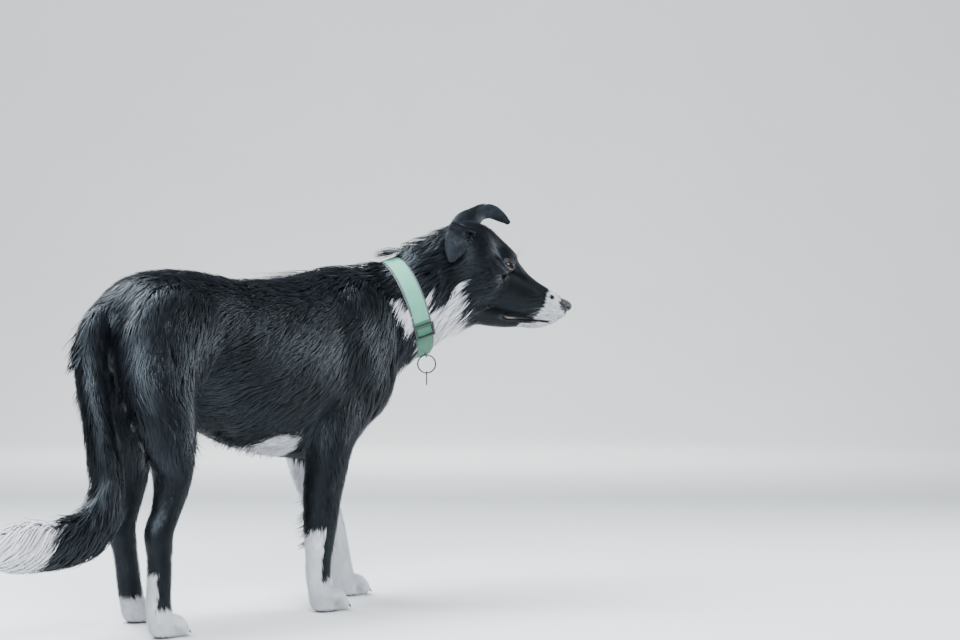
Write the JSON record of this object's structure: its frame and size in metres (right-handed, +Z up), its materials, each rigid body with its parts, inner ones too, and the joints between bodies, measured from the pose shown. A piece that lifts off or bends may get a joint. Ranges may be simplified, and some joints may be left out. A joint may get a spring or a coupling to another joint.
{
  "type": "standing dog model",
  "caption": "Life-size standing young dog with a medium coat, head turned to its right, tail hanging back, wearing a collar with a ring and a plain tag.",
  "frame": {"origin": "on the floor, under the middle of the bounding box", "axes": "+X forward along the trunk, +Y to the dog's left, +Z up"},
  "size_m": [0.982, 0.2804, 0.6051],
  "materials": {
    "coat_black": "glossy black dog hair with a cool blue-grey sheen",
    "coat_white": "soft white dog hair",
    "eye": "wet brown eye",
    "nose_leather": "moist dark grey nose skin",
    "claw": "semi-gloss dark horn",
    "collar_webbing": "woven mint-green webbing with a dark lining",
    "collar_plastic": "dark moulded slider",
    "collar_steel": "dull worn wire and tag"
  },
  "bodies": {
    "root": {"collar_loop": "collar_steel", "collar_ring": "collar_steel", "collar_slider": "collar_plastic", "collar_strap": "collar_webbing", "collar_tag": "collar_steel", "ear_left": "coat_black", "ear_right": "coat_black", "eye_left": "eye", "eye_right": "eye", "foreleg_left": "coat_white", "foreleg_right": "coat_black", "forepaw_left": "coat_white", "forepaw_right": "coat_white", "head": "coat_black", "hind_foot_left": "coat_black", "hind_foot_right": "coat_black", "neck": "coat_black", "nose": "nose_leather", "shank_left": "coat_black", "shank_right": "coat_black", "tail_bend": "coat_black", "tail_root": "coat_black", "tail_tip": "coat_white", "thigh_left": "coat_black", "thigh_right": "coat_black", "trunk": "coat_black"}
  },
  "joints": []
}
